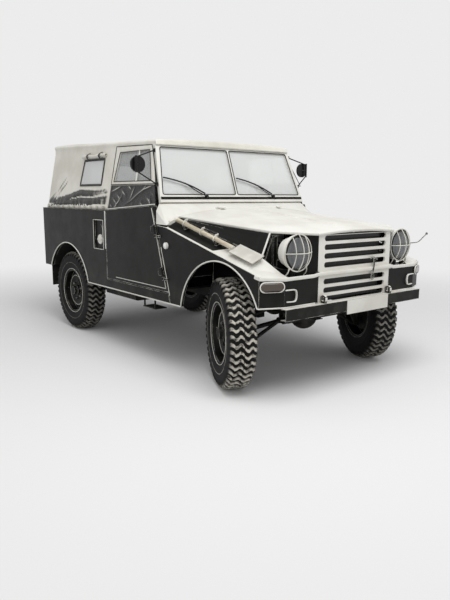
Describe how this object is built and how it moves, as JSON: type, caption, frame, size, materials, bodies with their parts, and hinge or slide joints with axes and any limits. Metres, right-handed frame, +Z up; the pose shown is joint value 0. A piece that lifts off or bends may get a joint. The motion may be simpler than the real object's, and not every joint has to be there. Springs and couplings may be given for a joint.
{
  "type": "army 4x4 car with a canvas top",
  "caption": "Soft-top army cross-country car with opening doors and bonnet, steered front wheels and a spare wheel on a hinged rear door.",
  "frame": {"origin": "on the ground under the centre of the car's outer box, front wheels standing turned right", "axes": "+X towards the front of the car, +Y towards its left side, +Z up"},
  "size_m": [3.71, 1.8796, 1.862],
  "materials": {
    "body_paint": "dark satin enamel with worn edges",
    "wheel_paint": "dark satin enamel on pressed steel",
    "chassis_black": "semi-matt black chassis paint",
    "radiator_black": "matt black",
    "lamp_shell": "painted lamp bowls with glass fronts",
    "window_glass": "clear flat glass",
    "clear_sheet": "clear flexible window sheet",
    "canvas": "pale woven cotton canvas, waterproofed",
    "seat_cover": "dark coated seat cloth",
    "steering_wheel_black": "hard black moulding on a steel core",
    "rubber": "black sheet rubber",
    "tool_wood": "oiled ash handles",
    "tyre": "black cross-country tyre rubber"
  },
  "bodies": {
    "chassis": {"chassis_frame": "chassis_black", "suspension": "chassis_black", "drive_train": "chassis_black", "engine_block": "chassis_black", "radiator": "radiator_black", "exhaust": "chassis_black", "fuel_tank": "chassis_black", "floor_pan": "body_paint", "quarter_panel_right": "body_paint", "quarter_panel_left": "body_paint", "rear_frame": "body_paint", "cowl": "body_paint", "dashboard": "body_paint", "front_wing_right": "body_paint", "front_wing_left": "body_paint", "grille_panel": "body_paint", "front_bumper": "chassis_black", "lamps": "lamp_shell", "windscreen_frame": "body_paint", "window_glass": "window_glass", "mirrors": "chassis_black", "canopy": "canvas", "canopy_bows": "chassis_black", "seat_frames": "chassis_black", "seat_cushions": "seat_cover", "steering_column": "chassis_black", "pioneer_tools": "tool_wood", "mudflaps": "rubber", "side_steps": "chassis_black"},
    "steering_wheel": {"steering_wheel": "steering_wheel_black"},
    "bonnet": {"bonnet": "body_paint"},
    "door_right": {"door_right": "body_paint", "door_top_right": "canvas", "door_pane_right": "clear_sheet"},
    "door_left": {"door_left": "body_paint", "door_top_left": "canvas", "door_pane_left": "clear_sheet"},
    "rear_door": {"rear_door": "body_paint", "spare_rim": "wheel_paint", "spare_tyre": "tyre"},
    "knuckle_right": {"knuckle_right": "chassis_black"},
    "knuckle_left": {"knuckle_left": "chassis_black"},
    "wheel_front_right": {"rim_front_right": "wheel_paint", "tyre_front_right": "tyre"},
    "wheel_front_left": {"rim_front_left": "wheel_paint", "tyre_front_left": "tyre"},
    "wheel_rear_right": {"rim_rear_right": "wheel_paint", "tyre_rear_right": "tyre"},
    "wheel_rear_left": {"rim_rear_left": "wheel_paint", "tyre_rear_left": "tyre"}
  },
  "joints": [
    {"name": "steer_right", "type": "hinge", "parent": "chassis", "child": "knuckle_right", "pos_m": [1.325, -0.63, 0.385], "axis": [0, 0, 1], "range_deg": [-6, 54]},
    {"name": "steer_left", "type": "hinge", "parent": "chassis", "child": "knuckle_left", "pos_m": [1.325, 0.63, 0.385], "axis": [0, 0, 1], "range_deg": [-6, 54]},
    {"name": "steering_wheel_turn", "type": "hinge", "parent": "chassis", "child": "steering_wheel", "pos_m": [0.24, 0.365, 1.13], "axis": [-0.766, 0, 0.6428], "range_deg": [-90, 810]},
    {"name": "bonnet_open", "type": "hinge", "parent": "chassis", "child": "bonnet", "pos_m": [0.7, 0, 1.226], "axis": [0, -1, 0], "range_deg": [0, 60]},
    {"name": "door_right_open", "type": "hinge", "parent": "chassis", "child": "door_right", "pos_m": [0.66572, -0.839, 0.75], "axis": [-0.3022, 0, 0.9533], "range_deg": [0, 70]},
    {"name": "door_left_open", "type": "hinge", "parent": "chassis", "child": "door_left", "pos_m": [0.66572, 0.839, 0.75], "axis": [0.3022, 0, -0.9533], "range_deg": [0, 70]},
    {"name": "rear_door_open", "type": "hinge", "parent": "chassis", "child": "rear_door", "pos_m": [-1.658, -0.434, 0.9], "axis": [0, 0, 1], "range_deg": [0, 90]},
    {"name": "roll_front_right", "type": "hinge", "parent": "knuckle_right", "child": "wheel_front_right", "pos_m": [1.29653, -0.69395, 0.385], "axis": [0.4067, 0.9135, 0], "continuous": true},
    {"name": "roll_front_left", "type": "hinge", "parent": "knuckle_left", "child": "wheel_front_left", "pos_m": [1.35347, 0.69395, 0.385], "axis": [0.4067, 0.9135, 0], "continuous": true},
    {"name": "roll_rear_right", "type": "hinge", "parent": "chassis", "child": "wheel_rear_right", "pos_m": [-1.075, -0.7, 0.385], "axis": [0, 1, 0], "continuous": true},
    {"name": "roll_rear_left", "type": "hinge", "parent": "chassis", "child": "wheel_rear_left", "pos_m": [-1.075, 0.7, 0.385], "axis": [0, 1, 0], "continuous": true}
  ],
  "couplings": [
    {"joint": "steer_left", "follows": "steer_right", "ratio": 1},
    {"joint": "steering_wheel_turn", "follows": "steer_right", "ratio": 15}
  ]
}
